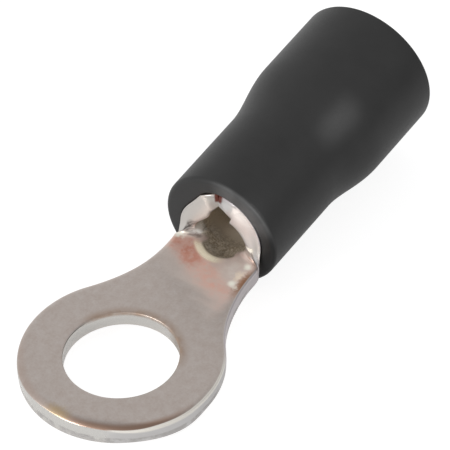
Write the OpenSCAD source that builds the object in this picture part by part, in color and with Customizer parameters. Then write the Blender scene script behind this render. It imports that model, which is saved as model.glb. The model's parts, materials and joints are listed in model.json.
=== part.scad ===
// Insulated ring terminal: a stamped and rolled tinned copper lug in a moulded vinyl sleeve.
// The origin is the stud hole's centre on the underside of the tongue. Z is the hole's axis,
// and the barrel runs along +Y towards the wire entry.

/* [Ring tongue] */
// Thickness of the copper sheet
sheet_t = 0.8; // [0.6:0.05:1]
// Diameter of the stud hole
stud_hole_d = 5.3; // [4.3:0.1:6.5]
// Outer diameter of the ring
ring_d = 9.5; // [8.5:0.1:12]
// Distance from the stud hole's centre to the mouth of the barrel
tongue_l = 8.15; // [7.5:0.05:11]
// Width of the neck between the ring and the barrel
neck_w = 4.6; // [3.5:0.1:5]
// Radius of the hollow corner between the ring and the neck
neck_corner_r = 7; // [3:0.5:8]
// Length over which the flat neck curls into a round trough
curl_l = 1; // [0.8:0.05:1.5]
// Length of the round trough in front of the barrel's mouth
trough_l = 0.3; // [0.1:0.05:0.6]
// Radius of the hollow corner between the neck and the barrel's mouth, in the flat sheet
mouth_corner_r = 1.2; // [0.6:0.1:1.4]

/* [Wire barrel] */
// Bore for the stripped conductor
wire_bore_d = 2.9; // [2.4:0.1:3.4]
// Height of the barrel's axis above the underside of the tongue
barrel_axis_h = 1.62; // [1.3:0.02:2]
// Length of the barrel
barrel_l = 6; // [4:0.1:7]
// Chamfer on the outer edge of the barrel's mouth
mouth_chamfer = 0.12; // [0.05:0.01:0.2]
// Chamfer in the rear end of the bore, which leads the strands in
lead_in = 0.3; // [0.1:0.05:0.4]
// Width of the vee along the top of the barrel where the rolled edges meet
seam_w = 0.4; // [0.2:0.05:0.6]
// Depth of that vee
seam_depth = 0.25; // [0.1:0.05:0.35]
// Height of the peak that the rolled edges leave over the bore at the mouth
peak_h = 0.33; // [0.1:0.01:0.35]
// Width of that peak
peak_w = 1; // [0.6:0.1:1.4]
// Length over which the peak runs out in the bore
peak_l = 2.5; // [1:0.1:3.5]

/* [Insulating sleeve] */
// Wall of the sleeve
sleeve_wall = 0.72; // [0.5:0.02:1]
// Gap between the barrel and the sleeve, all round
sleeve_fit = 0.02; // [0.01:0.01:0.05]
// Bare length of the barrel in front of the sleeve
sleeve_setback = 0.1; // [0.05:0.05:0.4]
// Length of the narrow part that grips the barrel
grip_l = 5.1; // [3.5:0.1:7]
// Length of the smooth flare between the narrow part and the bell
flare_l = 3.6; // [1:0.1:5]
// Length of the bell
bell_l = 4.15; // [2:0.05:8]
// Bore of the bell, which takes the insulation of the wire
bell_bore_d = 5.55; // [5.3:0.05:7]
// Rounding of the sleeve's front edge
front_edge_r = 0.25; // [0.1:0.05:0.4]
// Rounding of both edges at the sleeve's rear
rear_edge_r = 0.15; // [0.05:0.05:0.2]

/* [Hidden] */
$fn = 96;

// Rolled barrel: the middle of the sheet lies on mid_r
wire_bore_r = wire_bore_d / 2;
barrel_r = wire_bore_r + sheet_t;
mid_r = wire_bore_r + sheet_t / 2;

// Hollow corners: circles that touch the ring and the straight sides of the neck
corner_x = neck_w / 2 + neck_corner_r;
corner_y = sqrt(pow(ring_d / 2 + neck_corner_r, 2) - pow(corner_x, 2));

// Curl from the flat neck to the barrel, with a root inside the neck and one inside the barrel's
// wall, both just under the skin. The rows close up towards the mouth, where the corner turns fastest.
curl_start = tongue_l - trough_l - curl_l;
flat_end = min(curl_start, tongue_l - mouth_corner_r);
curl_steps = 20;
curl_columns = 32;
root_l = 0.5;
root_skin = 0.02;
curl_rows = [for (i = [0 : curl_steps]) flat_end + (tongue_l - flat_end) * sin(90 * i / curl_steps)];
loft_rows = concat([flat_end - root_l], curl_rows, [tongue_l + root_l]);

// Peak over the bore at the mouth: its sides are carried on into the open bore
peak_rim_z = sqrt(pow(wire_bore_r, 2) - pow(peak_w / 2, 2));
peak_drop = wire_bore_r + peak_h - peak_rim_z;
peak_carry = 1.4;
peak_tilt = atan(peak_h / peak_l);

// Sleeve
grip_bore_r = barrel_r + sleeve_fit;
grip_r = grip_bore_r + sleeve_wall;
bell_bore_r = bell_bore_d / 2;
bell_r = bell_bore_r + sleeve_wall;
sleeve_l = grip_l + flare_l + bell_l;
sleeve_y = tongue_l + sleeve_setback;
flare_steps = 16;
edge_steps = 6;

// How far a cut runs past the surface that it opens
overcut = 0.2;

// Smooth step from 0 to 1
function ease(t) = (1 - cos(180 * min(max(t, 0), 1))) / 2;

// Turn around the barrel's axis for a distance along the middle of the sheet
function degrees_around(distance) = distance / mid_r * 180 / PI;

// Half the width of the flat neck, from the hollow corner at the ring to its straight sides
function ring_side_half(y) =
    y >= corner_y ? neck_w / 2 : corner_x - sqrt(pow(neck_corner_r, 2) - pow(corner_y - y, 2));

// How far the corner at the mouth widens the sheet on either side
function mouth_side_gain(y) =
    let (depth = min(max(y - tongue_l + mouth_corner_r, 0), mouth_corner_r))
    mouth_corner_r - sqrt(pow(mouth_corner_r, 2) - pow(depth, 2));

// Half the width of the sheet, measured along it, at a distance from the stud hole
function neck_half(y) = ring_side_half(y) + mouth_side_gain(y);

// Share of the full roll that the sheet has at a distance from the stud hole
function curl(y) = ease((y - curl_start) / curl_l);

// Height of the middle of the sheet on its centre line
function trough_z(y) = sheet_t / 2 + curl(y) * (barrel_axis_h - mid_r - sheet_t / 2);

// Point on the curled sheet: across runs from -1 to 1, face is 1 on top and -1 below
function curl_point(y, across, face) =
    let (
        half_t = sheet_t / 2 - root_skin,
        along = across * (neck_half(y) - root_skin),
        turn = curl(y) * degrees_around(along),
        flat = curl(y) == 0,
        x = flat ? along : mid_r / curl(y) * sin(turn),
        rise = flat ? 0 : mid_r / curl(y) * (1 - cos(turn))
    )
    [x - face * half_t * sin(turn), y, trough_z(y) + rise + face * half_t * cos(turn)];

// Section of the curled sheet: along the top from left to right, back along the bottom
function curl_section(y) = concat(
    [for (j = [0 : curl_columns]) curl_point(y, 2 * j / curl_columns - 1, 1)],
    [for (j = [curl_columns : -1 : 0]) curl_point(y, 2 * j / curl_columns - 1, -1)]
);

// Points along an arc of a profile
function arc(centre, r, from, to, steps) =
    [for (i = [0 : steps]) let (a = from + (to - from) * i / steps) centre + r * [cos(a), sin(a)]];

// Points along the flare of a profile, from radius r0 at the front to r1 at the rear
function flare(r0, r1) =
    [for (i = [0 : flare_steps]) [r0 + (r1 - r0) * ease(i / flare_steps), grip_l + flare_l * i / flare_steps]];

function reversed(list) = [for (i = [len(list) - 1 : -1 : 0]) list[i]];

// Turns a shape made around Z to lie along the barrel, starting at y
module on_barrel_axis(y) {
    translate([0, y, barrel_axis_h]) rotate([-90, 0, 0]) children();
}

// Flat outline of the ring and the neck, up to where the sheet starts to curl or to widen
module tongue_outline() {
    circle(d = ring_d);
    intersection() {
        translate([-corner_x, 0]) square([2 * corner_x, flat_end]);
        difference() {
            union() {
                polygon([[0, 0], [corner_x, corner_y], [-corner_x, corner_y]]);
                translate([-corner_x, corner_y]) square([2 * corner_x, tongue_l]);
            }
            for (side = [-1, 1]) translate([side * corner_x, corner_y]) {
                circle(r = neck_corner_r);
                translate([-neck_corner_r, 0]) square([2 * neck_corner_r, tongue_l]);
            }
        }
    }
}

module tongue() {
    linear_extrude(sheet_t) difference() {
        tongue_outline();
        circle(d = stud_hole_d);
    }
}

// The sheet between the flat neck and the barrel: its middle sinks and its sides rise
module curled_neck() {
    row = 2 * (curl_columns + 1);
    last = (len(loft_rows) - 1) * row;
    points = [for (y = loft_rows) each curl_section(y)];
    skin = [for (i = [0 : len(loft_rows) - 2]) for (k = [0 : row - 1])
        let (next = (k + 1) % row)
        [i * row + k, (i + 1) * row + k, (i + 1) * row + next, i * row + next]];
    front = [for (j = [0 : curl_columns - 1]) [j, j + 1, row - 2 - j, row - 1 - j]];
    rear = [for (quad = front) [for (p = reversed(quad)) p + last]];
    polyhedron(points, concat(skin, front, rear), convexity = 4);
}

module barrel_tube() {
    on_barrel_axis(tongue_l) rotate_extrude() polygon([
        [wire_bore_r, 0],
        [barrel_r - mouth_chamfer, 0],
        [barrel_r, mouth_chamfer],
        [barrel_r, barrel_l],
        [wire_bore_r + lead_in, barrel_l],
        [wire_bore_r, barrel_l - lead_in]
    ]);
}

// Vee along the top of the barrel, where the rolled edges butt
module seam_vee() {
    translate([0, tongue_l + barrel_l + overcut, barrel_axis_h + barrel_r]) rotate([90, 0, 0])
        linear_extrude(barrel_l + 2 * overcut)
            polygon([[-seam_w, seam_depth], [seam_w, seam_depth], [0, -seam_depth]]);
}

// Pointed top of the mouth, which runs out into the round bore
module mouth_peak() {
    half_w = peak_carry * peak_w / 2;
    drop = peak_carry * peak_drop;
    translate([0, tongue_l, barrel_axis_h + wire_bore_r + peak_h]) rotate([-peak_tilt, 0, 0])
        translate([0, peak_l + overcut, 0]) rotate([90, 0, 0])
            linear_extrude(peak_l + 2 * overcut) polygon([[0, 0], [half_w, -drop], [-half_w, -drop]]);
}

module ring_terminal() {
    color("#B7AFA9") union() {
        tongue();
        curled_neck();
        difference() {
            barrel_tube();
            seam_vee();
            mouth_peak();
        }
    }
}

module insulating_sleeve() {
    color("#3B3B3D") on_barrel_axis(sleeve_y) rotate_extrude() polygon(concat(
        [[grip_bore_r, 0]],
        arc([grip_r - front_edge_r, front_edge_r], front_edge_r, -90, 0, edge_steps),
        flare(grip_r, bell_r),
        arc([bell_r - rear_edge_r, sleeve_l - rear_edge_r], rear_edge_r, 0, 90, edge_steps),
        arc([bell_bore_r + rear_edge_r, sleeve_l - rear_edge_r], rear_edge_r, 90, 180, edge_steps),
        reversed(flare(grip_bore_r, bell_bore_r))
    ));
}

ring_terminal();
insulating_sleeve();
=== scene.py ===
import json
import math

import bpy
from mathutils import Matrix, Vector


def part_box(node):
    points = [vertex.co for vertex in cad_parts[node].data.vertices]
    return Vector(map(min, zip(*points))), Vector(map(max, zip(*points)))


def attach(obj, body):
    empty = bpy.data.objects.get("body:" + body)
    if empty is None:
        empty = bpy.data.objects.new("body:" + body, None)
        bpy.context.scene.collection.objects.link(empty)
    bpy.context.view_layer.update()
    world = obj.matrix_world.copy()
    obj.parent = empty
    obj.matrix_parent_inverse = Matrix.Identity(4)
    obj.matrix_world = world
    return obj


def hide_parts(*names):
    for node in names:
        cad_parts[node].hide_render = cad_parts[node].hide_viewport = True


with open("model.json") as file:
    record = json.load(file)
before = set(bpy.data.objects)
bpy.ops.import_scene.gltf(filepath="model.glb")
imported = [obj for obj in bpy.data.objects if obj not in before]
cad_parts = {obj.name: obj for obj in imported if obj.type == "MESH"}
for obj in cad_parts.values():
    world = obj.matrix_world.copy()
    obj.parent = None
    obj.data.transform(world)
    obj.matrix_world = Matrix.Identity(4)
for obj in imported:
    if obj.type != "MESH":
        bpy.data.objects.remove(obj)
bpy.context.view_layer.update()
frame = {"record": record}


# Ring terminal: tinned copper sheet, punched out flat with its stud hole and then rolled at the rear
# into a barrel whose edges butt along the top. It is made the same way here: first the flat blank with
# its rounded and torn punched edges, then the roll.

MM = 0.001
mounts = {mount["name"]: mount for mount in frame["record"]["mounts"]}
lug_low, lug_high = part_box("ring_terminal")

# Sizes in millimetres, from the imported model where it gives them
sheet_t = mounts["stud_hole"]["dims"]["length_mm"]
hole_r = mounts["stud_hole"]["dims"]["r_mm"]
bore_r = mounts["wire_bore"]["dims"]["r_mm"]
axis_h = mounts["wire_bore"]["pos_m"][2] / MM
ring_r = -lug_low.y / MM
barrel_end = lug_high.y / MM
mid_r = bore_r + sheet_t / 2
mouth_y = 8.15
neck_half_w = 2.3
neck_corner_r = 7.0
mouth_corner_r = 0.4
mouth_lean = 0.12
seam_gap = 0.03

# Punched edge: the top rolls over into the cut, the upper part of the cut is burnished and the lower
# part is torn and leans in a little. Turns are in degrees from the front of the ring: where a form
# starts, is full, fades and ends.
edge_margin = 0.82
hole_margin = 0.4
front_roll_w = 0.75
front_roll_h = 0.2
side_roll_w = 0.28
side_roll_h = 0.07
hole_roll_w = 0.14
hole_roll_h = 0.04
mouth_roll_w = 0.14
mouth_roll_h = 0.06
roll_power = 2.3
front_roll_turns = (-85, -35, 28, 58)
roll_end_r = 0.05
tear_h = 0.27
tear_lean = 0.02
tear_step = 0.03
tear_margin = 0.06
burr_r = 0.03
flat_margin = 0.03
bulge_h = 0.15
bulge_turns = (35, 68, 68, 90)
cut_lean = 0.22
cut_lean_h = 0.55
cut_lean_turns = (-48, -5, 18, 50)
bulge_lean = 0.75
seam_roll = 0.06
seam_vee_w = 0.2
seam_vee_h = 0.25
corner_share = 0.5

# Mesh density, and the join across the neck where the mesh of the ring meets that of the neck
join_y = 6.0
across_steps = 72
flap_steps = 24
barrel_rows = 26
ring_steps = 150
ring_corner_steps = 26
neck_corner_steps = 28
neck_steps = 10
mouth_corner_steps = 24
radial_steps = 8
roll_steps = 10
roll_end_steps = 4
burr_steps = 4

corner_x = neck_half_w + neck_corner_r
corner_y = math.sqrt((ring_r + neck_corner_r) ** 2 - corner_x ** 2)
flap_end = math.pi * mid_r - seam_gap / 2


def edge_profile(roll_w, roll_h, under_w, under_h):
    """Rows from the top face round: distance in from the outline, height, distance in from the cut."""
    top = sheet_t / 2
    rows = [(edge_margin, top)]
    corner_r = min(roll_end_r, roll_w / 2)
    for step in range(roll_steps + roll_end_steps + 1):
        if step <= roll_steps:
            turn = 0
            depth = corner_r + (roll_w - corner_r) * (1 - step / roll_steps)
        else:
            turn = math.pi / 2 * (step - roll_steps) / roll_end_steps
            depth = corner_r * (1 - math.sin(turn))
        drop = roll_h * (1 - depth / roll_w) ** roll_power + corner_r * (1 - math.cos(turn))
        rows.append((depth, top - drop))
    rows.append((0, rows[-1][1] - flat_margin))
    tear_top = min(-top + max(tear_h, under_h + tear_margin), top - roll_h - corner_r - flat_margin)
    rows.append((0, tear_top))
    rows.append((tear_lean / 2, tear_top - tear_step))
    tear_end = -top + under_h
    rows.append((tear_lean, tear_end + min(flat_margin, (rows[-1][1] - tear_end) / 2)))
    for step in range(burr_steps + 1):
        turn = math.pi / 2 * step / burr_steps
        rows.append((tear_lean + under_w * (1 - math.cos(turn)), -top + under_h * (1 - math.sin(turn))))
    rows.append((rows[-1][0] + flat_margin, -top))
    rows.append((edge_margin, -top))
    return [(depth, height, depth) for depth, height in rows]


front_edge = edge_profile(front_roll_w, front_roll_h, burr_r, burr_r)
tongue_edge = edge_profile(side_roll_w, side_roll_h, burr_r, burr_r)
hole_edge = edge_profile(hole_roll_w, hole_roll_h, burr_r, burr_r)
mouth_edge = edge_profile(mouth_roll_w, mouth_roll_h, burr_r, burr_r)
seam_edge = edge_profile(seam_roll, seam_roll, seam_vee_w - tear_lean, seam_vee_h)


def between(profile_a, profile_b, share):
    """The edge at a share of the way from one profile to another."""
    return [tuple(a + (b - a) * share for a, b in zip(*rows)) for rows in zip(profile_a, profile_b)]


corner_edge = between(mouth_edge, seam_edge, corner_share)


def leaned(profile, lean):
    """The same edge with its cut leaning in towards the top."""
    rows = []
    for depth, height, from_cut in profile:
        rise = min((height + sheet_t / 2) / cut_lean_h, 1)
        rows.append((depth + lean * rise * (1 - depth / edge_margin), height, from_cut))
    return rows


def eased(value, start, end):
    """Smooth step from 0 at the start to 1 at the end."""
    share = min(max((value - start) / (end - start), 0), 1)
    return share * share * (3 - 2 * share)


def hump(value, start, full, fade, end):
    """Smooth rise to 1 where it is full, and fall from where it fades to where it ends."""
    return eased(value, start, full) * eased(value, end, fade)


# Right-hand outline from the join in the neck to the rear: point on the cut, way out of the sheet and
# profile of the edge
right_side = []
join_turn = math.asin((corner_y - join_y) / (neck_corner_r + edge_margin))
for step in range(neck_corner_steps + 1):
    turn = join_turn * (1 - step / neck_corner_steps)
    out = Vector((math.cos(turn), math.sin(turn)))
    right_side.append((Vector((corner_x, corner_y)) - neck_corner_r * out, out, tongue_edge))
mouth_centre = Vector((neck_half_w + mouth_corner_r, mouth_y - mouth_corner_r))
for step in range(1, neck_steps):
    v = corner_y + (mouth_centre.y - corner_y) * step / neck_steps
    right_side.append((Vector((neck_half_w, v)), Vector((1, 0)), tongue_edge))
for step in range(mouth_corner_steps + 1):
    share = step / mouth_corner_steps
    turn = math.pi / 2 * share
    out = Vector((math.cos(turn), -math.sin(turn)))
    edge = between(tongue_edge, mouth_edge, share)
    right_side.append((mouth_centre - mouth_corner_r * out, out, edge))
neck_rows = len(right_side)
flap_start = mouth_centre.x
flap_inner = flap_end - edge_margin
flap_us = [flap_start + (flap_inner - flap_start) * step / flap_steps for step in range(flap_steps + 1)]
for u in flap_us[1:-1]:
    lean = mouth_lean * (u - flap_start) / (flap_end - flap_start)
    right_side.append((Vector((u, mouth_y + lean)), Vector((0, -1)), mouth_edge))
right_side.append((Vector((flap_end, mouth_y + mouth_lean)), Vector((1, -1)), corner_edge))
barrel_vs = [
    mouth_y + edge_margin + (barrel_end - mouth_y - 2 * edge_margin) * step / barrel_rows
    for step in range(barrel_rows + 1)
]
for v in barrel_vs[1:-1]:
    right_side.append((Vector((flap_end, v)), Vector((1, 0)), seam_edge))
right_side.append((Vector((flap_end, barrel_end)), Vector((1, 1)), corner_edge))

# Rear edge, and the tongue's outline from the left end of the join round the ring to its right end
main_us = [flap_start * (2 * step / across_steps - 1) for step in range(across_steps + 1)]
rear_us = [-u for u in reversed(flap_us[1:])] + main_us + flap_us[1:]
rear_side = [(Vector((u, barrel_end)), Vector((0, 1)), mouth_edge) for u in reversed(rear_us[1:-1])]
ring_side = []
ring_turn = math.atan2(corner_y, corner_x)
for step in range(1, ring_corner_steps + 1):
    turn = join_turn + (ring_turn - join_turn) * step / ring_corner_steps
    out = Vector((-math.cos(turn), math.sin(turn)))
    ring_side.append((Vector((-corner_x, corner_y)) - neck_corner_r * out, out, tongue_edge))
for step in range(1, ring_steps):
    turn = math.pi - ring_turn + (math.pi + 2 * ring_turn) * step / ring_steps
    out = Vector((math.cos(turn), math.sin(turn)))
    from_front = math.degrees(math.atan2(out.x, -out.y))
    bulge = bulge_h * hump(from_front, *bulge_turns)
    lean = bulge_lean * bulge + cut_lean * hump(from_front, *cut_lean_turns)
    edge = leaned(between(tongue_edge, front_edge, hump(from_front, *front_roll_turns)), lean)
    ring_side.append(((ring_r + bulge) * out, out, edge))
for step in range(ring_corner_steps, 0, -1):
    turn = join_turn + (ring_turn - join_turn) * step / ring_corner_steps
    out = Vector((math.cos(turn), math.sin(turn)))
    ring_side.append((Vector((corner_x, corner_y)) - neck_corner_r * out, out, tongue_edge))
left_side = []
for point, out, edge in reversed(right_side):
    left_side.append((Vector((-point.x, point.y)), Vector((-out.x, out.y)), edge))

# Points of one face of the sheet, inside the edge margin, and the quads between them
face_points = []
face_quads = []


def face_point(u, v):
    """Adds a point to the face and gives its number."""
    face_points.append((u, v))
    return len(face_points) - 1


def inset(side):
    """Point of the face behind a point of the outline."""
    return side[0] - edge_margin * side[1]


neck_grid = []
for side in right_side[:neck_rows]:
    half, v = inset(side)
    neck_grid.append([face_point(half * (2 * j / across_steps - 1), v) for j in range(across_steps + 1)])
barrel_grid = []
for v in barrel_vs:
    if v == barrel_vs[0]:
        middle_ids = neck_grid[-1]
    else:
        middle_ids = [face_point(u, v) for u in main_us]
    left_ids = [face_point(-u, v) for u in reversed(flap_us[1:])]
    barrel_grid.append(left_ids + middle_ids + [face_point(u, v) for u in flap_us[1:]])
for grid in (neck_grid, barrel_grid):
    for low, high in zip(grid, grid[1:]):
        for j in range(len(low) - 1):
            face_quads.append((low[j], low[j + 1], high[j + 1], high[j]))
ring_outer = list(reversed(neck_grid[0])) + [face_point(*inset(side)) for side in ring_side]
ring_grid = [ring_outer]
for row in range(1, radial_steps + 1):
    ids = []
    for outer in ring_outer:
        start = Vector(face_points[outer])
        end = start.normalized() * (hole_r + hole_margin)
        ids.append(face_point(*start.lerp(end, row / radial_steps)))
    ring_grid.append(ids)
for outer, inner in zip(ring_grid, ring_grid[1:]):
    for k in range(len(outer)):
        after = (k + 1) % len(outer)
        face_quads.append((outer[k], outer[after], inner[after], inner[k]))

# Both closed outlines, with the sheet always on their left: the outer one and the hole
outer_sides = right_side + rear_side + left_side + ring_side
right_ids = [row[-1] for row in neck_grid] + barrel_grid[0][-flap_steps:]
right_ids += [row[-1] for row in barrel_grid[1:]]
left_ids = [row[0] for row in neck_grid] + list(reversed(barrel_grid[0][:flap_steps]))
left_ids += [row[0] for row in barrel_grid[1:]]
rear_ids = list(reversed(barrel_grid[-1][1:-1]))
outer_ids = right_ids + rear_ids + list(reversed(left_ids)) + ring_outer[across_steps + 1:]
hole_ids = list(reversed(ring_grid[-1]))
hole_sides = []
for index in hole_ids:
    ray = Vector(face_points[index]).normalized()
    hole_sides.append((hole_r * ray, -ray, hole_edge))

# The closed blank: top face, underside, and the profile of the cut along both outlines
count = len(face_points)
blank_points = [(u, v, height) for height in (sheet_t / 2, -sheet_t / 2) for u, v in face_points]
blank_quads = list(face_quads) + [tuple(count + i for i in reversed(quad)) for quad in face_quads]
from_edge = [edge_margin] * (2 * count)
for ids, sides in ((outer_ids, outer_sides), (hole_ids, hole_sides)):
    runs = []
    for index, (point, out, profile) in zip(ids, sides):
        run = [index]
        for depth, height, from_cut in profile[1:-1]:
            place = point - depth * out
            run.append(len(blank_points))
            blank_points.append((place.x, place.y, height))
            from_edge.append(from_cut)
        runs.append(run + [count + index])
    for k in range(len(runs)):
        here, after = runs[k], runs[(k + 1) % len(runs)]
        for row in range(len(here) - 1):
            blank_quads.append((here[row], here[row + 1], after[row + 1], after[row]))

blank = bpy.data.meshes.new("lug_blank")
blank.from_pydata([Vector(point) * MM for point in blank_points], [], blank_quads)
blank.attributes.new("from_edge", "FLOAT", "POINT").data.foreach_set("value", from_edge)
lug = bpy.data.objects.new("rolled_ring_terminal", blank)
bpy.context.scene.collection.objects.link(lug)


def linear(hex_colour):
    """Linear colour of an sRGB hex value."""
    parts = [int(hex_colour[i:i + 2], 16) / 255 for i in (1, 3, 5)]
    return [p / 12.92 if p <= 0.04045 else ((p + 0.055) / 1.055) ** 2.4 for p in parts] + [1.0]


def add(tree, kind, settings=None, **sockets):
    """Adds a node with its settings, and sets or links its sockets, given by index or by name."""
    node = tree.nodes.new(kind)
    for name, value in (settings or {}).items():
        setattr(node, name, value)
    for name, value in sockets.items():
        key = int(name[1:]) if name[0] == "_" else name.replace("__", " ")
        if isinstance(value, bpy.types.Node):
            value = value.outputs[0]
        if isinstance(value, bpy.types.NodeSocket):
            tree.links.new(value, node.inputs[key])
        else:
            node.inputs[key].default_value = value
    return node


# Kinds of node, and settings, that come back often
RANGE = "ShaderNodeMapRange"
MATH = "ShaderNodeMath"
VECTOR = "ShaderNodeVectorMath"
MIX = "ShaderNodeMix"
NOISE = "ShaderNodeTexNoise"
SPLIT = "ShaderNodeSeparateXYZ"
JOIN = "ShaderNodeCombineXYZ"
ease = {"interpolation_type": "SMOOTHSTEP"}
plus = {"operation": "ADD"}
minus = {"operation": "SUBTRACT"}
times = {"operation": "MULTIPLY"}
times_plus = {"operation": "MULTIPLY_ADD"}
over = {"operation": "DIVIDE"}
smaller = {"operation": "MINIMUM"}
larger = {"operation": "MAXIMUM"}
unsigned = {"operation": "ABSOLUTE"}
length = {"operation": "LENGTH"}
scaled = {"operation": "SCALE"}
in_colour = {"data_type": "RGBA"}

# Small dents that the forming tool left along the right-hand edge, in the flat blank
dents = {"rear_dent": (1.83, 7.56), "front_dent": (1.76, 6.32)}

# Tinned copper, rolled and then dipped thin: a satin pale grey with a breath of pink, mottled at the
# scale of the tin's grain. The copper shows through where the sheet was worked.
tinned = bpy.data.materials.new("tinned_copper_sheet")
tinned.use_nodes = True
shade = tinned.node_tree
surface = shade.nodes["Principled BSDF"]
grain_mm = 0.09
mottle_mm = 0.45
streak_mm = 0.9
streak_draw = (0.35, 1.6, 1.0)
wander_mm = 0.16
texture_mm = 0.02
noise_low = 0.3
noise_high = 0.7
flat_at = add(shade, "ShaderNodeAttribute", {"attribute_name": "blank"})
in_mm = add(shade, VECTOR, scaled, _0=flat_at.outputs["Vector"], Scale=1 / MM)
u, v, w = add(shade, SPLIT, None, Vector=in_mm).outputs
depth_in = add(shade, "ShaderNodeAttribute", {"attribute_name": "from_edge"}).outputs["Fac"]
grain = add(shade, NOISE, None, Vector=in_mm, Scale=1 / grain_mm, Detail=2.0)
mottle = add(shade, NOISE, None, Vector=in_mm, Scale=1 / mottle_mm, Detail=4.0, Roughness=0.62)
drawn_out = add(shade, VECTOR, times, _0=in_mm, _1=streak_draw)
streak = add(shade, NOISE, None, Vector=drawn_out, Scale=1 / streak_mm, Detail=4.0)

# Measures over the blank in millimetres: out from the stud hole, off the middle line, away from the
# middle of the dish before the bore, and along the bent neck on a slant, plain or with a ragged edge.
# The speckle of the bore is mottling and grain together.
dish_u = 0.06
dish_v = 8.5
slant_share = 0.52
speckle_share = 0.5
out_by = add(shade, VECTOR, length, _0=in_mm).outputs["Value"]
off_middle = add(shade, MATH, unsigned, _0=u)
to_side = add(shade, MATH, minus, _0=u, _1=dish_u)
to_front = add(shade, MATH, minus, _0=v, _1=dish_v)
to_front = add(shade, MATH, smaller, _0=to_front, _1=0.0)
to_dish = add(shade, JOIN, None, X=to_side, Y=to_front)
to_dish = add(shade, VECTOR, length, _0=to_dish).outputs["Value"]
slant = add(shade, MATH, times_plus, _0=u, _1=slant_share, _2=v)
ragged = add(shade, RANGE, None, Value=streak, From__Min=0.2, From__Max=0.8, To__Min=-0.4, To__Max=0.5)
ragged = add(shade, MATH, plus, _0=slant, _1=ragged)
speckle = add(shade, MATH, times_plus, _0=mottle, _1=speckle_share, _2=grain)

# The dish and the bore behind it are one place
dished = add(shade, RANGE, ease, Value=to_dish, From__Min=1.16, From__Max=1.02)
in_bore = add(shade, RANGE, ease, Value=v, From__Min=8.2, From__Max=8.5)
dished = add(shade, MATH, larger, _0=dished, _1=in_bore)

# Places that look different, each the product of its rows: the name of an earlier place, or a measure
# with where it starts, where it is full, and the least share that is left outside
places = {"dished": dished}
for name, *rows in (
    # Upper half of the sheet, outer part of the ring, and the streaks and mottling of the tin
    ("upper", (w, -0.05, 0.1, 0)),
    ("outside", (out_by, 3.5, 4.0, 0)),
    ("rubbed", (streak, 0.25, 0.7, 0.3)),
    ("broken", (mottle, 0.36, 0.6, 0.5)),
    ("patchy", "upper", "broken"),
    # The forming punch left the dish before the bore dull. Its lip is cream as a painted highlight
    ("lip", "upper", (to_dish, 1.57, 1.37, 0), (v, 8.0, 7.6, 0), (u, 0.8, 0.1, 0)),
    ("dull", "upper", "dished"),
    ("far_in", "upper", (v, 8.7, 9.8, 0)),
    ("cloudy", "dull", (speckle, 0.58, 0.95, 0)),
    # Where the neck was bent the tin is rubbed thin and matt, most on the left before the mouth
    ("worked", "upper", (ragged, 4.6, 6.5, 0), (u, 2.6, 1.9, 0)),
    ("blush", "worked", "rubbed", "broken", (slant, 5.2, 6.4, 0), (slant, 7.4, 6.6, 0.4)),
    # Over the die-roll the tin is stretched thin, with brown copper under it. The brown is also darker
    # than the copper, as painted shade for the dark reflection of the roll
    ("brown", "upper", "outside", (depth_in, 0.55, 0.2, 0), (v, -0.4, -3.0, 0), (u, -1.5, 1.2, 0.3)),
    # The cut: burnished above, torn and matt below, and brightest round the mouth
    ("cut", (depth_in, 0.045, 0.01, 0)),
    ("torn", "cut", "outside", (w, -0.1, -0.17, 0), (mottle, 0.35, 0.6, 0)),
    ("mouth_cut", "cut", (v, 7.9, 8.1, 0)),
    ("left_cut", "mouth_cut", (u, -1.0, -2.5, 0)),
    ("ring_cut", (u, 1.8, 2.4, 0), (depth_in, 0.1, 0.05, 0)),
    ("right_cut", "ring_cut", (v, 1.5, 3.0, 0)),
    # The top corner of the ring's right-hand cut carries a painted highlight line
    ("ring_corner", "ring_cut", (w, 0.12, 0.24, 0)),
    ("hole_cut", (u, 0.7, 1.7, 0), (out_by, 2.8, 2.7, 0)),
    (
        "hole_roll",
        (w, 0.16, 0.34, 0), (out_by, 3.2, 2.7, 0), (v, 0.4, 1.4, 0), (mottle, 0.36, 0.62, 0.5),
    ),
    # Copper shows in the seam's vee
    ("bare", (off_middle, flap_end - 0.24, flap_end - 0.12, 0), (w, 0.1, -0.05, 0)),
):
    shares = []
    for row in rows:
        if isinstance(row, str):
            shares.append(places[row])
        else:
            measure, start, full, least = row
            shares.append(add(
                shade, RANGE, ease, Value=measure, From__Min=start, From__Max=full, To__Min=least
            ))
    places[name] = shares[0]
    for share in shares[1:]:
        places[name] = add(shade, MATH, times, _0=places[name], _1=share)

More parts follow.
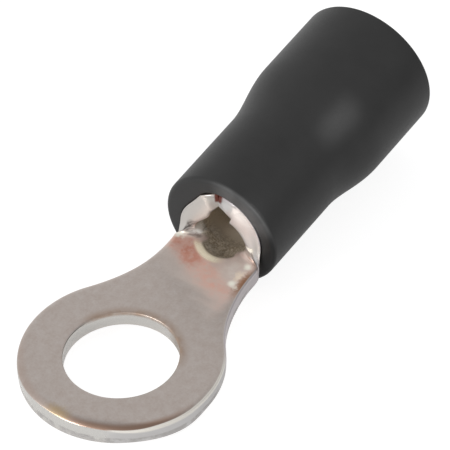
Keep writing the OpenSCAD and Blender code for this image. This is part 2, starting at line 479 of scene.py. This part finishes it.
# Single spots with a wandering edge: the place that they lie in, their centre in millimetres, how far
# they are drawn in along each way, and their share in the middle
spot_rim = 1.05
spot_core = 0.15
noise_middle = (0.5, 0.5, 0.5)
far_reach = (0.5, 0.5, 0.0)
near_reach = (0.12, 0.12, 0.0)
wander = add(shade, NOISE, None, Vector=in_mm, Scale=1 / wander_mm, Detail=3.0)
wander = add(shade, VECTOR, minus, _0=wander.outputs["Color"], _1=noise_middle)
astray = add(shade, VECTOR, times_plus, _0=wander, _1=far_reach, _2=in_mm)
close_by = add(shade, VECTOR, times_plus, _0=wander, _1=near_reach, _2=in_mm)
for name, place, centre, squeeze, most in (
    ("red", "patchy", (-1.3, 7.3, 0.4), (0.9, 1.3, 1.0), 1.0),
    ("rust", "patchy", (-0.7, 6.75, 0.4), (1.3, 1.5, 1.0), 0.8),
    ("beige", "patchy", (1.4, 7.1, 0.4), (1.0, 0.8, 1.0), 0.8),
    # Painted highlight: a pale streak on the right of the neck
    ("pale", "upper", (1.8, 6.85, 0.4), (3.6, 2.0, 1.0), 1.0),
    ("tan", "upper", (2.2, 6.6, 0.4), (2.6, 0.8, 1.0), 0.95),
    ("golden", "upper", (-0.55, -4.35, 0.3), (1.1, 2.0, 1.0), 0.6),
    # Painted shade in the crevice between the left flap and the tongue
    ("crevice", "upper", (-2.35, 8.08, 0.3), (1.2, 4.5, 1.0), 1.0),
    # Painted highlight on the ledge at the left of the mouth
    ("ledge", "upper", (-2.05, 8.42, 0.4), (1.4, 1.8, 1.0), 1.0),
    # Painted shade in the hollow on the left just inside the mouth
    ("hollow", "upper", (-1.65, 8.14, 0.4), (2.2, 4.0, 1.0), 0.7),
    # Painted shade in the small crevices at the foot of the right flap
    ("grime", "upper", (2.5, 8.1, 0.35), (2.4, 4.0, 1.0), 1.0),
    ("stain", "upper", (2.2, 7.88, 0.4), (3.0, 4.0, 1.0), 1.0),
    # Painted glints: near-white spots on the left corner, the right flank, the neck's side and both
    # dents
    ("left_wedge", "upper", (-2.1, 7.8, 0.3), (2.6, 3.6, 1.0), 1.0),
    ("right_flank", "upper", (2.62, 8.13, 0.16), (6.0, 6.0, 2.0), 1.0),
    ("neck_side", "upper", (2.0, 6.17, 0.4), (4.5, 5.5, 1.0), 0.6),
    *((dent, "upper", (*centre, 0.4), (3.6, 3.6, 1.0), 1.0) for dent, centre in dents.items()),
):
    away = add(shade, VECTOR, minus, _0=close_by if name in dents else astray, _1=centre)
    away = add(shade, VECTOR, times, _0=away, _1=squeeze)
    away = add(shade, VECTOR, length, _0=away).outputs["Value"]
    spot = add(shade, RANGE, ease, Value=away, From__Min=spot_rim, From__Max=spot_core, To__Max=most)
    places[name] = add(shade, MATH, times, _0=spot, _1=places[place])

# Finishes over the tin, from the lowest to the topmost: place, colour, roughness and share of metal
# Spots that carry painted glints
painted_glints = ("left_wedge", "right_flank", "neck_side", *dents)
fleck_depth = 0.16
smoothest = 0.33
roughest = 0.41
fleck = add(
    shade, RANGE, None, Value=grain,
    From__Min=noise_low, From__Max=noise_high, To__Min=-fleck_depth, To__Max=fleck_depth,
)
fleck = add(shade, MATH, {**plus, "use_clamp": True}, _0=fleck, _1=mottle)
tint = add(shade, MIX, in_colour, _0=fleck, _6=linear("#BFB0A7"), _7=linear("#D6CEC9")).outputs[2]
gloss = add(
    shade, RANGE, None, Value=grain,
    From__Min=noise_low, From__Max=noise_high, To__Min=smoothest, To__Max=roughest,
)
metal = 1.0
for name, colour, roughness, metallic in (
    # Brown copper of the die-roll, darkened further as painted shade
    ("brown", "#A88C7C", 0.32, 1.0),
    ("golden", "#C9AE80", 0.3, 1.0),
    ("worked", "#DDCEC5", 0.4, 0.4),
    ("blush", "#EAB9A8", 0.4, 0.3),
    ("beige", "#EDE3DA", 0.4, 0.3),
    ("red", "#CC8874", 0.4, 0.35),
    ("rust", "#D08E7A", 0.4, 0.35),
    # Painted highlight on the right of the neck
    ("pale", "#FCEAD6", 0.35, 0.25),
    ("tan", "#B08264", 0.3, 0.6),
    # Painted highlight along the lip of the dish
    ("lip", "#FAEED4", 0.25, 0.25),
    ("dull", "#988A78", 0.5, 0.35),
    ("far_in", "#D2C4B2", 0.45, 0.35),
    ("cloudy", "#C8BCA8", 0.45, 0.35),
    ("cut", "#CCCAC6", 0.24, 1.0),
    ("ring_cut", "#C4C2C1", 0.42, 0.85),
    # Painted highlight line on the corner of the ring's right-hand cut
    ("ring_corner", "#F0EBE2", 0.35, 0.25),
    ("right_cut", "#C8C0C2", 0.3, 0.55),
    ("hole_cut", "#9A8E82", 0.35, 1.0),
    ("hole_roll", "#B09A8A", 0.5, 0.7),
    ("torn", "#B0ADAB", 0.5, 1.0),
    ("mouth_cut", "#C9C7C5", 0.3, 0.4),
    ("left_cut", "#C4C0BB", 0.4, 0.5),
    # Painted shade in the crevice by the left flap
    ("crevice", "#32261F", 0.5, 0.35),
    # Painted highlight on the ledge at the left of the mouth
    ("ledge", "#F6F2EC", 0.4, 0.3),
    # Painted shade in the hollow inside the left of the mouth
    ("hollow", "#6E5A50", 0.5, 0.5),
    # Painted shade at the foot of the right flap
    ("grime", "#8F837A", 0.4, 0.4),
    ("stain", "#B49A8C", 0.4, 0.4),
    # Painted glints
    *((spot, "#FFFBEE", 0.3, 0.1) for spot in painted_glints),
    ("bare", "#6E3A30", 0.5, 0.5),
):
    share = places[name]
    tint = add(shade, MIX, in_colour, _0=share, _6=tint, _7=linear(colour)).outputs[2]
    gloss = add(shade, MIX, None, _0=share, _2=gloss, _3=roughness)
    metal = add(shade, MIX, None, _0=share, _2=metal, _3=metallic)
shade.links.new(tint, surface.inputs["Base Color"])
shade.links.new(gloss.outputs[0], surface.inputs["Roughness"])
shade.links.new(metal.outputs[0], surface.inputs["Metallic"])
mottle_height = 0.7
texture = add(shade, MATH, times_plus, _0=mottle, _1=mottle_height, _2=grain)
bump = add(shade, "ShaderNodeBump", None, Strength=0.12, Distance=texture_mm * MM, Height=texture)
shade.links.new(bump.outputs[0], surface.inputs["Normal"])

# Press: how far the left flank of the mouth was pushed in when the barrel was closed
press_sizes = {
    "Left press": 0.4,
    "Press low": -2.0,
    "Press deepest": -4.2,
    "Press high": -5.7,
    "Press front": 7.7,
    "Press full": 8.2,
    "Press from": 8.4,
    "Press run-out": 10.4,
}


def new_tree(name, sizes, result, result_kind, geometry=None):
    """Starts a Geometry Nodes tree with named inputs and one result. Gives the tree and its inputs."""
    tree = bpy.data.node_groups.new(name, "GeometryNodeTree")
    if geometry:
        tree.interface.new_socket(geometry, in_out="INPUT", socket_type="NodeSocketGeometry")
    for size_name in sizes:
        tree.interface.new_socket(size_name, in_out="INPUT", socket_type="NodeSocketFloat")
    tree.interface.new_socket(result, in_out="OUTPUT", socket_type=result_kind)
    return tree, add(tree, "NodeGroupInput").outputs


press_tree, size = new_tree(
    "press_of_the_flank", ["Across", "Along", *press_sizes], "Press", "NodeSocketFloat"
)
press = size["Left press"]
for value, start, end in (
    (size["Across"], "Press low", "Press deepest"),
    (size["Across"], "Press high", "Press deepest"),
    (size["Along"], "Press front", "Press full"),
    (size["Along"], "Press run-out", "Press from"),
):
    share = add(press_tree, RANGE, ease, Value=value, From__Min=size[start], From__Max=size[end])
    press = add(press_tree, MATH, times, _0=press, _1=share)
add(press_tree, "NodeGroupOutput", None, Press=press)

# One side of the rolled sheet: flat along the neck, then a ball-ended dish in the middle and quickly
# rising flanks at the sides, which both run into the round barrel. The left flank was pressed in.
side_sizes = {
    "Middle radius": mid_r,
    "Axis height": axis_h,
    "Dish centre": dish_v,
    "Dish shift": 0.12,
    "Flank from": 7.75,
    "Flank to": 8.22,
    "Barrel from": 9.4,
    "Neck shift": 0.1,
    "Shift from": 3.0,
    "Shift full": 5.8,
    "Shift until": 7.4,
    **press_sizes,
}
own_sizes = ("Radius", "Ball radius", "Height", "Crease", "Dish reach", "Flank reach")
side_tree, size = new_tree(
    "side_of_the_sheet", ["Across", "Along", *own_sizes, *side_sizes], "Place", "NodeSocketVector"
)
across, along = size["Across"], size["Along"]
turn = add(side_tree, MATH, over, _0=across, _1=size["Middle radius"])
sine = add(side_tree, MATH, {"operation": "SINE"}, _0=turn)
cosine = add(side_tree, MATH, {"operation": "COSINE"}, _0=turn)
round_x = add(side_tree, MATH, times, _0=size["Radius"], _1=sine)
fall = add(side_tree, MATH, times, _0=size["Radius"], _1=cosine)
round_z = add(side_tree, MATH, minus, _0=size["Axis height"], _1=fall)
flank = add(
    side_tree, RANGE, ease, Value=along, From__Min=size["Flank from"], From__Max=size["Flank to"]
)
x = add(side_tree, MIX, None, _0=flank, _2=across, _3=round_x)
flank_z = add(side_tree, MIX, None, _0=flank, _2=size["Height"], _3=round_z)
ahead = add(side_tree, MATH, minus, _0=along, _1=size["Dish centre"])
ahead = add(side_tree, MATH, smaller, _0=ahead, _1=0.0)
ahead = add(side_tree, MATH, times, _0=ahead, _1=ahead)
to_side = add(side_tree, MATH, minus, _0=x, _1=size["Dish shift"])
away = add(side_tree, MATH, times_plus, _0=to_side, _1=to_side, _2=ahead)
deep = add(side_tree, MATH, times, _0=size["Ball radius"], _1=size["Ball radius"])
deep = add(side_tree, MATH, minus, _0=deep, _1=away)
deep = add(side_tree, MATH, larger, _0=deep, _1=0.0)
deep = add(side_tree, MATH, {"operation": "SQRT"}, _0=deep)
ball_z = add(side_tree, MATH, minus, _0=size["Axis height"], _1=deep)
dish_z = add(
    side_tree, MATH, {"operation": "SMOOTH_MIN"}, _0=size["Height"], _1=ball_z, _2=size["Crease"]
)
aside = add(side_tree, MATH, unsigned, _0=across)
aside = add(
    side_tree, RANGE, ease, Value=aside, From__Min=size["Dish reach"], From__Max=size["Flank reach"]
)
z = add(side_tree, MIX, None, _0=aside, _2=dish_z, _3=flank_z)
home = add(
    side_tree, RANGE, ease, Value=along, From__Min=size["Dish centre"], From__Max=size["Barrel from"]
)
z = add(side_tree, MIX, None, _0=home, _2=z, _3=round_z)
bow = add(
    side_tree, RANGE, ease, Value=along, From__Min=size["Shift from"], From__Max=size["Shift full"]
)
unbow = add(
    side_tree, RANGE, ease, Value=along, From__Min=size["Flank to"], From__Max=size["Shift until"]
)
bow = add(side_tree, MATH, times, _0=bow, _1=unbow)
x = add(side_tree, MATH, times_plus, _0=bow, _1=size["Neck shift"], _2=x)
press = add(
    side_tree, "GeometryNodeGroup", {"node_tree": press_tree}, Across=across, Along=along,
    **{name: size[name] for name in press_sizes},
)
z = add(side_tree, MATH, times_plus, _0=press, _1=cosine, _2=z)
press = add(side_tree, MATH, times, _0=press, _1=sine)
x = add(side_tree, MATH, minus, _0=x, _1=press)
spot = add(side_tree, JOIN, None, X=x, Y=along, Z=z)
add(side_tree, "NodeGroupOutput", None, Place=spot)

# Roll: each point of the blank goes between its places on the two sides of the rolled sheet, by its
# height in the sheet
roll_sizes = {
    "Inner radius": bore_r,
    "Outer radius": bore_r + sheet_t,
    "Thickness": sheet_t,
    "Inner ball": 1.3,
    "Outer ball": 2.15,
    "Inner crease": 0.3,
    "Outer crease": 0.35,
    "Inner dish reach": 1.5,
    "Inner flank reach": 2.1,
    "Outer dish reach": 1.15,
    "Outer flank reach": 1.7,
    "Mouth": mouth_y,
    "Seam": math.pi * mid_r,
    "Peak height": 0.02,
    "Peak reach": 0.65,
    "Peak run-out": 2.5,
    "Lip height": 0.26,
    "Lip low": 2.4,
    "Lip full": 3.4,
    "Lip start": -0.3,
    "Lip run-out": 0.8,
    "Tab from": 3.25,
    "Tab top": 4.65,
    "Tab end": 4.78,
    "Tab height": 0.4,
    "Dent reach": 0.28,
    "Dent depth": 0.09,
}
roll_sizes = {name: value * MM for name, value in {**side_sizes, **roll_sizes}.items()}
roll, size = new_tree("roll_the_blank", roll_sizes, "Lug", "NodeSocketGeometry", geometry="Blank")
flat = add(roll, "GeometryNodeInputPosition")
kept = add(
    roll, "GeometryNodeStoreNamedAttribute", {"data_type": "FLOAT_VECTOR", "domain": "POINT"},
    Geometry=size["Blank"], Name="blank", Value=flat,
)
u, v, w = add(roll, SPLIT, None, Vector=flat).outputs
side_places = []
for side, side_height in (("Inner", size["Thickness"]), ("Outer", 0.0)):
    side_places.append(add(
        roll, "GeometryNodeGroup", {"node_tree": side_tree}, Across=u, Along=v, Height=side_height,
        Radius=size[f"{side} radius"], Ball__radius=size[f"{side} ball"], Crease=size[f"{side} crease"],
        Dish__reach=size[f"{side} dish reach"], Flank__reach=size[f"{side} flank reach"],
        **{name: size[name] for name in side_sizes},
    ))
inner_place, outer_place = side_places

# The inner corners are set up to a peak where the rolled edges meet at the mouth. Below the peak the
# squeezed inner edge swells into a lip, with a small tab of burr on the right.
wide = add(roll, MATH, unsigned, _0=u)
to_seam = add(roll, MATH, minus, _0=size["Seam"], _1=wide)
peak = add(roll, RANGE, None, Value=to_seam, From__Min=size["Peak reach"], From__Max=0.0)
past_mouth = add(roll, MATH, minus, _0=v, _1=size["Mouth"])
peak_run = add(roll, RANGE, None, Value=past_mouth, From__Min=size["Peak run-out"], From__Max=0.0)
peak = add(roll, MATH, times, _0=peak, _1=peak_run)
peak = add(roll, MATH, times, _0=peak, _1=size["Peak height"])
lip = add(roll, RANGE, ease, Value=wide, From__Min=size["Lip low"], From__Max=size["Lip full"])
lip_end = add(roll, RANGE, ease, Value=to_seam, From__Min=0.0, From__Max=size["Peak reach"])
lip = add(roll, MATH, times, _0=lip, _1=lip_end)
lip = add(roll, MATH, times, _0=lip, _1=size["Lip height"])
tab = add(roll, RANGE, None, Value=u, From__Min=size["Tab from"], From__Max=size["Tab top"])
tab_end = add(roll, RANGE, ease, Value=u, From__Min=size["Tab end"], From__Max=size["Tab top"])
tab = add(roll, MATH, times, _0=tab, _1=tab_end)
lip = add(roll, MATH, times_plus, _0=tab, _1=size["Tab height"], _2=lip)
lip_run = add(roll, RANGE, ease, Value=past_mouth, From__Min=size["Lip run-out"], From__Max=0.0)
lip = add(roll, MATH, times, _0=lip, _1=lip_run)
lip_run = add(roll, RANGE, ease, Value=past_mouth, From__Min=size["Lip start"], From__Max=0.0)
lip = add(roll, MATH, times, _0=lip, _1=lip_run)
swell = add(roll, MATH, minus, _0=lip, _1=peak)

# The dents press the upper face in, and then every point takes its place
for dent in dents.values():
    middle = Vector((*dent, sheet_t / 2)) * MM
    away = add(roll, VECTOR, {"operation": "DISTANCE"}, _0=flat, _1=middle).outputs["Value"]
    hollow = add(roll, RANGE, ease, Value=away, From__Min=size["Dent reach"], From__Max=0.0)
    hollow = add(roll, MATH, times, _0=hollow, _1=size["Dent depth"])
    swell = add(roll, MATH, minus, _0=swell, _1=hollow)
half_t = add(roll, MATH, times, _0=size["Thickness"], _1=0.5)
inner = add(roll, MATH, {**over, "use_clamp": True}, _0=w, _1=half_t)
height = add(roll, MATH, times_plus, _0=inner, _1=swell, _2=w)
share = add(roll, MATH, over, _0=height, _1=size["Thickness"])
share = add(roll, MATH, plus, _0=share, _1=0.5)
through = add(roll, VECTOR, minus, _0=inner_place, _1=outer_place)
through = add(roll, VECTOR, scaled, _0=through, Scale=share)
place = add(roll, VECTOR, plus, _0=outer_place, _1=through)
rolled = add(roll, "GeometryNodeSetPosition", None, Geometry=kept, Position=place)
rolled = add(roll, "GeometryNodeSetShadeSmooth", None, Geometry=rolled)
real = add(roll, "GeometryNodeRealizeInstances", None, Geometry=rolled)
coated = add(roll, "GeometryNodeSetMaterial", None, Geometry=real, Material=tinned)
add(roll, "NodeGroupOutput", None, Lug=coated)


def settle(piece, tree, sizes):
    """Runs a node tree on a piece with its sizes and keeps the result as a plain mesh."""
    modifier = piece.modifiers.new(tree.name, "NODES")
    modifier.node_group = tree
    for socket in tree.interface.items_tree:
        if socket.in_out == "INPUT" and socket.name in sizes:
            modifier[socket.identifier] = sizes[socket.name]
    ready = piece.evaluated_get(bpy.context.evaluated_depsgraph_get())
    made = bpy.data.meshes.new_from_object(ready)
    piece.modifiers.remove(modifier)
    piece.data = made


settle(lug, roll, roll_sizes)
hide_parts("ring_terminal")
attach(lug, "root")


# Insulating sleeve: black PVC moulded as a tube and pushed over the barrel, where it grips. It widens
# in a smooth flare to a bell that takes the insulation of the wire.

sleeve_low, sleeve_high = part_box("insulating_sleeve")
box_margin = 0.001
sleeve_front = sleeve_low.y / MM
sleeve_rear = sleeve_high.y / MM - box_margin
bell_r = (sleeve_high.z - sleeve_low.z) / 2 / MM - box_margin
bell_bore_r = mounts["bell_bore"]["dims"]["r_mm"]
sleeve_wall = 0.72
grip_bore_r = 2.27
grip_r = grip_bore_r + sleeve_wall
grip_l = 5.1
flare_l = 3.6
front_edge_r = 0.25
front_inner_r = 0.06
rear_edge_r = 0.15
flare_steps = 28
edge_steps = 8
straight_steps = 6
around_steps = 160


def rounded(centre_r, centre_y, edge_r, first, last):
    """Quarter round of an edge, between two angles in degrees."""
    points = []
    for step in range(edge_steps + 1):
        turn = math.radians(first + (last - first) * step / edge_steps)
        points.append((centre_r + edge_r * math.cos(turn), centre_y + edge_r * math.sin(turn)))
    return points


def straight(r, y0, y1):
    """Points between the ends of a straight part of the wall."""
    return [(r, y0 + (y1 - y0) * step / straight_steps) for step in range(1, straight_steps)]


def flare(r0, r1):
    """Smooth widening of the wall from one radius to another."""
    points = []
    for step in range(flare_steps + 1):
        share = step / flare_steps
        points.append((r0 + (r1 - r0) * (1 - math.cos(math.pi * share)) / 2, flare_y + flare_l * share))
    return points


flare_y = sleeve_front + grip_l
inner_edge_y = sleeve_front + front_inner_r
wall_section = []
wall_section += rounded(grip_bore_r + front_inner_r, inner_edge_y, front_inner_r, 180, 270)
wall_section += rounded(grip_r - front_edge_r, sleeve_front + front_edge_r, front_edge_r, -90, 0)
wall_section += straight(grip_r, sleeve_front + front_edge_r, flare_y)
wall_section += flare(grip_r, bell_r)
wall_section += straight(bell_r, flare_y + flare_l, sleeve_rear - rear_edge_r)
wall_section += rounded(bell_r - rear_edge_r, sleeve_rear - rear_edge_r, rear_edge_r, 0, 90)
wall_section += rounded(bell_bore_r + rear_edge_r, sleeve_rear - rear_edge_r, rear_edge_r, 90, 180)
wall_section += straight(bell_bore_r, sleeve_rear - rear_edge_r, flare_y + flare_l)
wall_section += list(reversed(flare(grip_bore_r, bell_bore_r)))
wall_section += straight(grip_bore_r, flare_y, inner_edge_y)

section = bpy.data.meshes.new("sleeve_section")
section.from_pydata(
    [Vector((r - grip_bore_r, y, 0)) * MM for r, y in wall_section],
    [(i, (i + 1) % len(wall_section)) for i in range(len(wall_section))],
    [],
)
sleeve = bpy.data.objects.new("moulded_sleeve", section)
bpy.context.scene.collection.objects.link(sleeve)

# Carbon-black PVC from a bead-blasted mould: near black, with a soft satin sheen that the fine grain of
# the mould breaks up, and a faint cloudiness where the melt flowed. The front face has a painted sheen,
# paler at the top, and painted shade, darker on the right
vinyl = bpy.data.materials.new("black_moulded_pvc")
vinyl.use_nodes = True
pvc = vinyl.node_tree
vinyl_surface = pvc.nodes["Principled BSDF"]
blast_mm = 0.07
cloud_mm = 1.3
blast_depth_mm = 0.015
satin_smoothest = 0.36
satin_roughest = 0.46
face_from = sleeve_front + 0.2
face_full = sleeve_front + 0.06
vinyl_at = add(pvc, "ShaderNodeTexCoord").outputs["Object"]
blast = add(pvc, NOISE, None, Vector=vinyl_at, Scale=1 / (blast_mm * MM), Detail=2.0)
cloud = add(pvc, NOISE, None, Vector=vinyl_at, Scale=1 / (cloud_mm * MM), Detail=3.0)
vinyl_tint = add(pvc, MIX, in_colour, _0=cloud, _6=linear("#373737"), _7=linear("#3F3F3F")).outputs[2]
in_wall = add(pvc, VECTOR, minus, _0=vinyl_at, _1=(0, 0, axis_h * MM))
in_wall = add(pvc, VECTOR, scaled, _0=in_wall, Scale=1 / MM)
x, y, z = add(pvc, SPLIT, None, Vector=in_wall).outputs
spoke = add(pvc, JOIN, None, X=x, Z=z)
spoke = add(pvc, VECTOR, {"operation": "NORMALIZE"}, _0=spoke)
face_masks = (
    add(pvc, RANGE, ease, Value=y, From__Min=face_from, From__Max=face_full),
    add(pvc, RANGE, ease, Value=cloud, From__Min=0.3, From__Max=0.6, To__Min=0.6),
)
# Painted sheen on the upper front face, and painted shade on its right-hand side
for place_turn, painted_face_light in ((42, "#626262"), (106, "#262626")):
    place_turn = math.radians(place_turn)
    toward = (math.sin(place_turn), 0, math.cos(place_turn))
    rubbed = add(pvc, VECTOR, {"operation": "DOT_PRODUCT"}, _0=spoke, _1=toward)
    rubbed = add(pvc, RANGE, ease, Value=rubbed.outputs["Value"], From__Min=0.6, From__Max=0.95)
    for mask in face_masks:
        rubbed = add(pvc, MATH, times, _0=rubbed, _1=mask)
    vinyl_tint = add(pvc, MIX, in_colour, _0=rubbed, _6=vinyl_tint, _7=linear(painted_face_light)).outputs[2]
vinyl_gloss = add(
    pvc, RANGE, None, Value=blast,
    From__Min=noise_low, From__Max=noise_high, To__Min=satin_smoothest, To__Max=satin_roughest,
)
vinyl_grain = add(pvc, "ShaderNodeBump", None, Strength=0.2, Distance=blast_depth_mm * MM, Height=blast)
vinyl_surface.inputs["Specular IOR Level"].default_value = 0.12
pvc.links.new(vinyl_tint, vinyl_surface.inputs["Base Color"])
pvc.links.new(vinyl_gloss.outputs[0], vinyl_surface.inputs["Roughness"])
pvc.links.new(vinyl_grain.outputs[0], vinyl_surface.inputs["Normal"])

# Turn: the section of the wall goes round the bore and is laid along the barrel's axis
turned_sizes = {
    "Bore radius": grip_bore_r,
    "Outer radius": grip_r - front_edge_r,
    "Axis height": axis_h,
    "Middle radius": mid_r,
    **press_sizes,
}
turned_sizes = {name: value * MM for name, value in turned_sizes.items()}
turned, size = new_tree(
    "turn_the_section", turned_sizes, "Sleeve", "NodeSocketGeometry", geometry="Section"
)
section_curve = add(turned, "GeometryNodeMeshToCurve", None, Mesh=size["Section"])
bore_circle = add(
    turned, "GeometryNodeCurvePrimitiveCircle", None, Resolution=around_steps, Radius=size["Bore radius"]
)
swept = add(turned, "GeometryNodeCurveToMesh", None, Curve=bore_circle, Profile__Curve=section_curve)
lift = add(turned, JOIN, None, Z=size["Axis height"])
laid = add(
    turned, "GeometryNodeTransform", None, Geometry=swept, Rotation=(math.pi / 2, 0, 0), Translation=lift
)

# The inside of the wall follows the pressed flank of the barrel
spot = add(turned, "GeometryNodeInputPosition")
spot = add(turned, VECTOR, minus, _0=spot, _1=lift)
x, y, z = add(turned, SPLIT, None, Vector=spot).outputs
fall = add(turned, MATH, times, _0=z, _1=-1.0)
turn = add(turned, MATH, {"operation": "ARCTAN2"}, _0=x, _1=fall)
around = add(turned, MATH, times, _0=turn, _1=size["Middle radius"])
press = add(
    turned, "GeometryNodeGroup", {"node_tree": press_tree}, Across=around, Along=y,
    **{name: size[name] for name in press_sizes},
)
spoke = add(turned, JOIN, None, X=x, Z=z)
out_by = add(turned, VECTOR, length, _0=spoke).outputs["Value"]
inside = add(
    turned, RANGE, None, Value=out_by, From__Min=size["Outer radius"], From__Max=size["Bore radius"]
)
press = add(turned, MATH, times, _0=press, _1=inside)
press = add(turned, MATH, times, _0=press, _1=-1.0)
spoke = add(turned, VECTOR, {"operation": "NORMALIZE"}, _0=spoke)
shove = add(turned, VECTOR, scaled, _0=spoke, Scale=press)
pressed = add(turned, "GeometryNodeSetPosition", None, Geometry=laid, Offset=shove)
smooth = add(turned, "GeometryNodeSetShadeSmooth", None, Geometry=pressed)
real = add(turned, "GeometryNodeRealizeInstances", None, Geometry=smooth)
coated = add(turned, "GeometryNodeSetMaterial", None, Geometry=real, Material=vinyl)
add(turned, "NodeGroupOutput", None, Sleeve=coated)
settle(sleeve, turned, turned_sizes)
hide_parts("insulating_sleeve")
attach(sleeve, "root")


# Table top: a round white card that the lug lies on. The lug rests on the tip of its ring and on the
# rounded front edge of the sleeve, so the card leans a little against the tongue.

rest_along = ring_r + sleeve_front + front_edge_r
rest_drop = grip_r - front_edge_r - axis_h
floor_tilt = math.atan2(rest_drop, rest_along)
floor_tilt += math.asin(front_edge_r / math.hypot(rest_drop, rest_along))
floor_up = Vector((0, math.sin(floor_tilt), math.cos(floor_tilt)))
floor_r = 45.0
floor_gap = 0.01
floor_sides = 64
floor_side = Vector((1, 0, 0))
floor_along = floor_up.cross(floor_side)
floor_centre = Vector((0, -ring_r, 0)) - floor_gap * floor_up + floor_along * (ring_r + flare_y / 2)
rim = []
for step in range(floor_sides):
    turn = 2 * math.pi * step / floor_sides
    out = math.cos(turn) * floor_side + math.sin(turn) * floor_along
    rim.append((floor_centre + floor_r * out) * MM)
card = bpy.data.meshes.new("table_card")
card.from_pydata(rim, [], [list(range(floor_sides))])
floor = bpy.data.objects.new("table_card", card)
bpy.context.scene.collection.objects.link(floor)

# Matt white card: seen as white, also in the metal, and it still takes the shadow
seen_glow = 0.88
mirrored_glow = 0.35
white = bpy.data.materials.new("matt_white_card")
white.use_nodes = True
white_tree = white.node_tree
white_tree.nodes.remove(white_tree.nodes["Principled BSDF"])
path = add(white_tree, "ShaderNodeLightPath")
seen = path.outputs["Is Camera Ray"]
mirrored = add(
    white_tree, MATH, larger, _0=path.outputs["Is Glossy Ray"], _1=path.outputs["Is Transmission Ray"]
)
paper = add(white_tree, MIX, in_colour, _0=seen, _6=linear("#E6E6E6"), _7=linear("#969696")).outputs[2]
shine = add(white_tree, MIX, None, _0=mirrored, _2=0.0, _3=mirrored_glow)
shine = add(white_tree, MIX, None, _0=seen, _2=shine, _3=seen_glow)
plain = add(white_tree, "ShaderNodeBsdfDiffuse", None, Color=paper)
glow = add(white_tree, "ShaderNodeEmission", None, Color=linear("#FFFFFF"), Strength=shine)
mixed = add(white_tree, "ShaderNodeAddShader", None, _0=plain, _1=glow)
white_tree.links.new(mixed.outputs[0], white_tree.nodes["Material Output"].inputs["Surface"])
card.materials.append(white)


# Studio: a white room whose walls, ceiling and right rear corner look dimmer in the metal. Two strip
# boxes light the sleeve alone, for the spot on its shoulder and the line along its front edge, and a
# soft box on the left lights everything.

scene = bpy.context.scene
scene.view_settings.view_transform = "Standard"
room = bpy.data.worlds.new("white_studio")
scene.world = room
room.use_nodes = True
room_tree = room.node_tree
room_tree.nodes.clear()
room_level = 0.6
ceiling_level = 0.42
wall_level = 0.7
corner_way = Vector((0.8, 0.57, 0.2)).normalized()
corner_level = 0.25
path = add(room_tree, "ShaderNodeLightPath")
toward = add(room_tree, "ShaderNodeTexCoord").outputs["Generated"]
mirrored = 1.0
for way, start, full, dimmed in (
    (floor_up, 0.05, 0.4, wall_level),
    (floor_up, 0.8, 0.95, ceiling_level / wall_level),
    (corner_way, 0.7, 0.97, corner_level),
):
    facing = add(room_tree, VECTOR, {"operation": "DOT_PRODUCT"}, _0=toward, _1=way).outputs["Value"]
    share = add(
        room_tree, RANGE, ease, Value=facing,
        From__Min=start, From__Max=full, To__Min=1.0, To__Max=dimmed,
    )
    mirrored = add(room_tree, MATH, times, _0=mirrored, _1=share)
glint = add(
    room_tree, MATH, larger, _0=path.outputs["Is Glossy Ray"], _1=path.outputs["Is Transmission Ray"]
)
level = add(room_tree, MIX, None, _0=glint, _2=room_level, _3=mirrored)
level = add(room_tree, MIX, None, _0=path.outputs["Is Camera Ray"], _2=level, _3=1.0)
background = add(room_tree, "ShaderNodeBackground", None, Color=linear("#FFFFFF"), Strength=level)
add(room_tree, "ShaderNodeOutputWorld", None, Surface=background)

# Lamps: the way to each, its width and height in metres, its power in watts, and whether it lights all
lit_by_strips = bpy.data.collections.new("lit_by_strips")
lit_by_strips.objects.link(sleeve)
box_aim = Vector((0, 12, 2)) * MM
box_distance = 0.3
for name, way, box_w, box_h, box_power, lights_all in (
    ("strip_box_right", (0.79, 0.19, 0.57), 0.19, 0.012, 0.53, False),
    ("strip_box_front", (0.62, -0.72, 0.3), 0.2, 0.05, 0.8, False),
    ("soft_box_left", (-0.35, -0.8, 0.45), 0.1, 0.1, 0.4, True),
):
    way = Vector(way).normalized()
    level_way = Vector((0, 1, 0)).cross(way).normalized()
    soft_box = bpy.data.lights.new(name, "AREA")
    soft_box.shape = "RECTANGLE"
    soft_box.size = box_w
    soft_box.size_y = box_h
    soft_box.energy = box_power
    lamp = bpy.data.objects.new(name, soft_box)
    turned_to = Matrix((level_way, way.cross(level_way), way)).transposed()
    lamp.matrix_world = Matrix.Translation(box_aim + way * box_distance) @ turned_to.to_4x4()
    lamp.visible_camera = False
    lamp.visible_diffuse = lights_all
    if not lights_all:
        lamp.light_linking.receiver_collection = lit_by_strips
    scene.collection.objects.link(lamp)

# Camera: a long lens, 45 degrees above the tongue and a tenth of a turn to its right, with the frame
# leaning back a little
view_azimuth = math.radians(35.76)
view_elevation = math.radians(44.73)
view_lean = math.radians(4.936)
view_distance = 249.1 * MM
view_aim = Vector((1.607, 6.452, 4.338)) * MM
sensor_w = 36.0
image_px = 450
focal_px = 5500
camera = bpy.data.objects.new("camera", bpy.data.cameras.new("camera"))
camera.data.sensor_width = sensor_w
camera.data.lens = sensor_w * focal_px / image_px
camera.data.clip_start = 0.01
camera.data.clip_end = 10.0
back = Vector((
    math.sin(view_azimuth) * math.cos(view_elevation),
    -math.cos(view_azimuth) * math.cos(view_elevation),
    math.sin(view_elevation),
))
view_up = Vector((0, math.sin(view_lean), math.cos(view_lean)))
to_right = view_up.cross(back).normalized()
to_top = back.cross(to_right)
turned_to = Matrix((to_right, to_top, back)).transposed()
camera.matrix_world = Matrix.Translation(view_aim + back * view_distance) @ turned_to.to_4x4()
scene.collection.objects.link(camera)
scene.camera = camera
